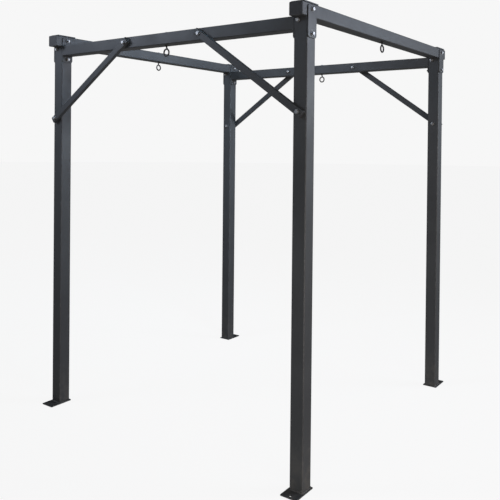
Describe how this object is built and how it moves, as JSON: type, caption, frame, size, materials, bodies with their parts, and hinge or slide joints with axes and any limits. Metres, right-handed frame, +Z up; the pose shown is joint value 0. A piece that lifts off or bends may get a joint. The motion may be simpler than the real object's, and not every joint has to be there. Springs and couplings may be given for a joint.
{
  "type": "punching bag stand",
  "caption": "Bolted box-tube frame on corner posts with foot plates, diagonal braces and a hanging eye under each top beam, for hanging punching bags.",
  "frame": {"origin": "on the floor, under the middle of the stand", "axes": "+X to the right along the front beam, +Y from front to rear, +Z up"},
  "size_m": [2.02, 2.052, 2.4851],
  "materials": {
    "powder_coated_steel": "satin charcoal powder coat",
    "zinc_plated_steel": "bright zinc plating",
    "blackened_steel": "black oxide, slightly oily",
    "black_plastic": "moulded plastic with a fine grain"
  },
  "bodies": {
    "stand": {"front_beam": "powder_coated_steel", "rear_beam": "powder_coated_steel", "left_beam": "powder_coated_steel", "right_beam": "powder_coated_steel", "post_front_left": "powder_coated_steel", "post_front_right": "powder_coated_steel", "post_rear_left": "powder_coated_steel", "post_rear_right": "powder_coated_steel", "foot_plate_front_left": "powder_coated_steel", "foot_plate_front_right": "powder_coated_steel", "foot_plate_rear_left": "powder_coated_steel", "foot_plate_rear_right": "powder_coated_steel", "outer_clamp_plate_front_left": "powder_coated_steel", "outer_clamp_plate_front_right": "powder_coated_steel", "outer_clamp_plate_rear_left": "powder_coated_steel", "outer_clamp_plate_rear_right": "powder_coated_steel", "beam_end_plate_front_left": "powder_coated_steel", "beam_end_plate_front_right": "powder_coated_steel", "beam_end_plate_rear_left": "powder_coated_steel", "beam_end_plate_rear_right": "powder_coated_steel", "corner_top_plate_front_left": "powder_coated_steel", "corner_top_plate_front_right": "powder_coated_steel", "corner_top_plate_rear_left": "powder_coated_steel", "corner_top_plate_rear_right": "powder_coated_steel", "brace_left_front": "powder_coated_steel", "brace_left_rear": "powder_coated_steel", "brace_right_front": "powder_coated_steel", "brace_right_rear": "powder_coated_steel", "front_beam_cap_left": "black_plastic", "front_beam_cap_right": "black_plastic", "rear_beam_cap_left": "black_plastic", "rear_beam_cap_right": "black_plastic", "brace_end_plugs": "black_plastic", "plate_bolts": "zinc_plated_steel", "plate_bolt_nuts": "zinc_plated_steel", "plate_bolt_washers": "zinc_plated_steel", "brace_bolts": "zinc_plated_steel", "brace_bolt_nuts": "zinc_plated_steel", "brace_bolt_washers": "zinc_plated_steel", "cross_bolts": "zinc_plated_steel", "cross_bolt_nuts": "zinc_plated_steel", "cross_bolt_washers": "zinc_plated_steel", "eye_washers": "zinc_plated_steel"},
    "eye_front": {"eye_bolt_front": "blackened_steel", "eye_nut_front": "zinc_plated_steel"},
    "eye_rear": {"eye_bolt_rear": "blackened_steel", "eye_nut_rear": "zinc_plated_steel"},
    "eye_left": {"eye_bolt_left": "blackened_steel", "eye_nut_left": "zinc_plated_steel"},
    "eye_right": {"eye_bolt_right": "blackened_steel", "eye_nut_right": "zinc_plated_steel"}
  },
  "joints": [
    {"name": "eye_front_swivel", "type": "hinge", "parent": "stand", "child": "eye_front", "pos_m": [0, -0.97, 2.406], "axis": [0, 0, 1], "continuous": true},
    {"name": "eye_rear_swivel", "type": "hinge", "parent": "stand", "child": "eye_rear", "pos_m": [0, 0.97, 2.406], "axis": [0, 0, 1], "continuous": true},
    {"name": "eye_left_swivel", "type": "hinge", "parent": "stand", "child": "eye_left", "pos_m": [-0.9, 0, 2.344], "axis": [0, 0, 1], "continuous": true},
    {"name": "eye_right_swivel", "type": "hinge", "parent": "stand", "child": "eye_right", "pos_m": [0.9, 0, 2.344], "axis": [0, 0, 1], "continuous": true}
  ]
}
